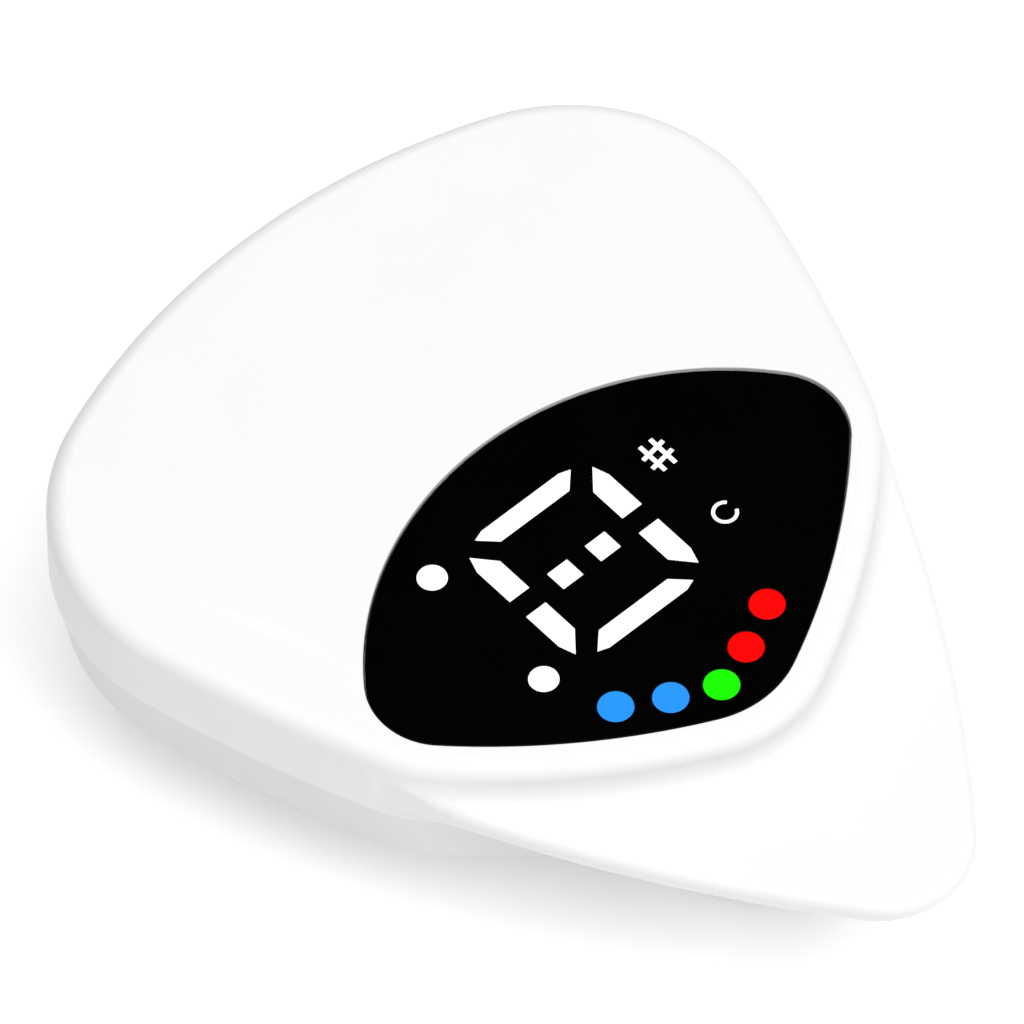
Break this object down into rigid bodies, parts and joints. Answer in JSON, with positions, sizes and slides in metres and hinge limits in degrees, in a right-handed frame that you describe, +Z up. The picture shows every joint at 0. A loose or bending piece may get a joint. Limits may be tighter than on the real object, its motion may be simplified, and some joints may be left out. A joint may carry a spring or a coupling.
{
  "type": "clip-on instrument tuner",
  "caption": "Pick-shaped clip-on tuner with a lit display window, a thin thumb blade and a sprung clip lever with rubber pads underneath.",
  "frame": {"origin": "under the middle of the pick-shaped body, on the surface that the clip lever's underside rests on", "axes": "+Z up out of the display, +Y towards the wide end of the body, +X to the right of the display"},
  "size_m": [0.0488, 0.06, 0.0164],
  "materials": {
    "cover_plastic": "fine matte white ABS",
    "lens_black": "gloss black acrylic",
    "tape_black": "matte black foam tape",
    "film_white": "milky diffuser film",
    "mask_black": "matte black",
    "lamp_white": "lit white light guide",
    "lamp_blue": "lit blue light guide",
    "lamp_green": "lit green light guide",
    "lamp_red": "lit red light guide",
    "circuit_board": "green solder mask over glass epoxy",
    "led_package": "clear epoxy over phosphor",
    "chip_black": "moulded epoxy",
    "ceramic_tan": "fired ceramic with tinned ends",
    "cell_foil": "laminated foil pouch",
    "foam_grey": "foam pad",
    "connector_ivory": "nylon",
    "lead_red": "soft insulation",
    "piezo_brass": "rolled brass",
    "piezo_ceramic": "silvered ceramic",
    "steel_shell": "drawn stainless sheet",
    "spring_steel": "drawn spring wire",
    "pin_steel": "ground steel pin",
    "pad_rubber": "soft moulded rubber",
    "button_plastic": "fine matte white ABS"
  },
  "bodies": {
    "tuner": {"front_cover": "cover_plastic", "rear_cover": "cover_plastic", "window_lens": "lens_black", "lens_adhesive": "tape_black", "diffuser_film": "film_white", "light_mask": "mask_black", "digit_segments": "lamp_white", "mode_icons": "lamp_white", "side_dots": "lamp_white", "blue_dots": "lamp_blue", "green_dot": "lamp_green", "red_dots": "lamp_red", "main_board": "circuit_board", "indicator_leds": "led_package", "controller_chip": "chip_black", "board_passives": "ceramic_tan", "battery": "cell_foil", "battery_pad": "foam_grey", "battery_connector": "connector_ivory", "battery_leads": "lead_red", "piezo_plate": "piezo_brass", "piezo_ceramic": "piezo_ceramic", "usb_socket": "steel_shell", "usb_tongue": "mask_black", "tact_switch": "steel_shell", "cover_screws": "pin_steel", "hinge_pin": "pin_steel", "torsion_spring": "spring_steel", "upper_pad": "pad_rubber"},
    "lever": {"clip_lever": "cover_plastic", "lower_pad": "pad_rubber"},
    "button": {"power_button": "button_plastic", "switch_plunger": "chip_black"}
  },
  "joints": [
    {"name": "clip_hinge", "type": "hinge", "parent": "tuner", "child": "lever", "pos_m": [0, -0.0125, 0.0036], "axis": [-1, 0, 0], "range_deg": [0, 26], "stiffness_Nm_per_rad": 0.12, "springref_deg": -28.65, "deforming": ["torsion_spring"]},
    {"name": "power_press", "type": "slide", "parent": "tuner", "child": "button", "axis": [-1, 0, 0], "range_m": [0, 0.00025], "stiffness_N_per_m": 2500, "springref_m": -0.0001}
  ]
}
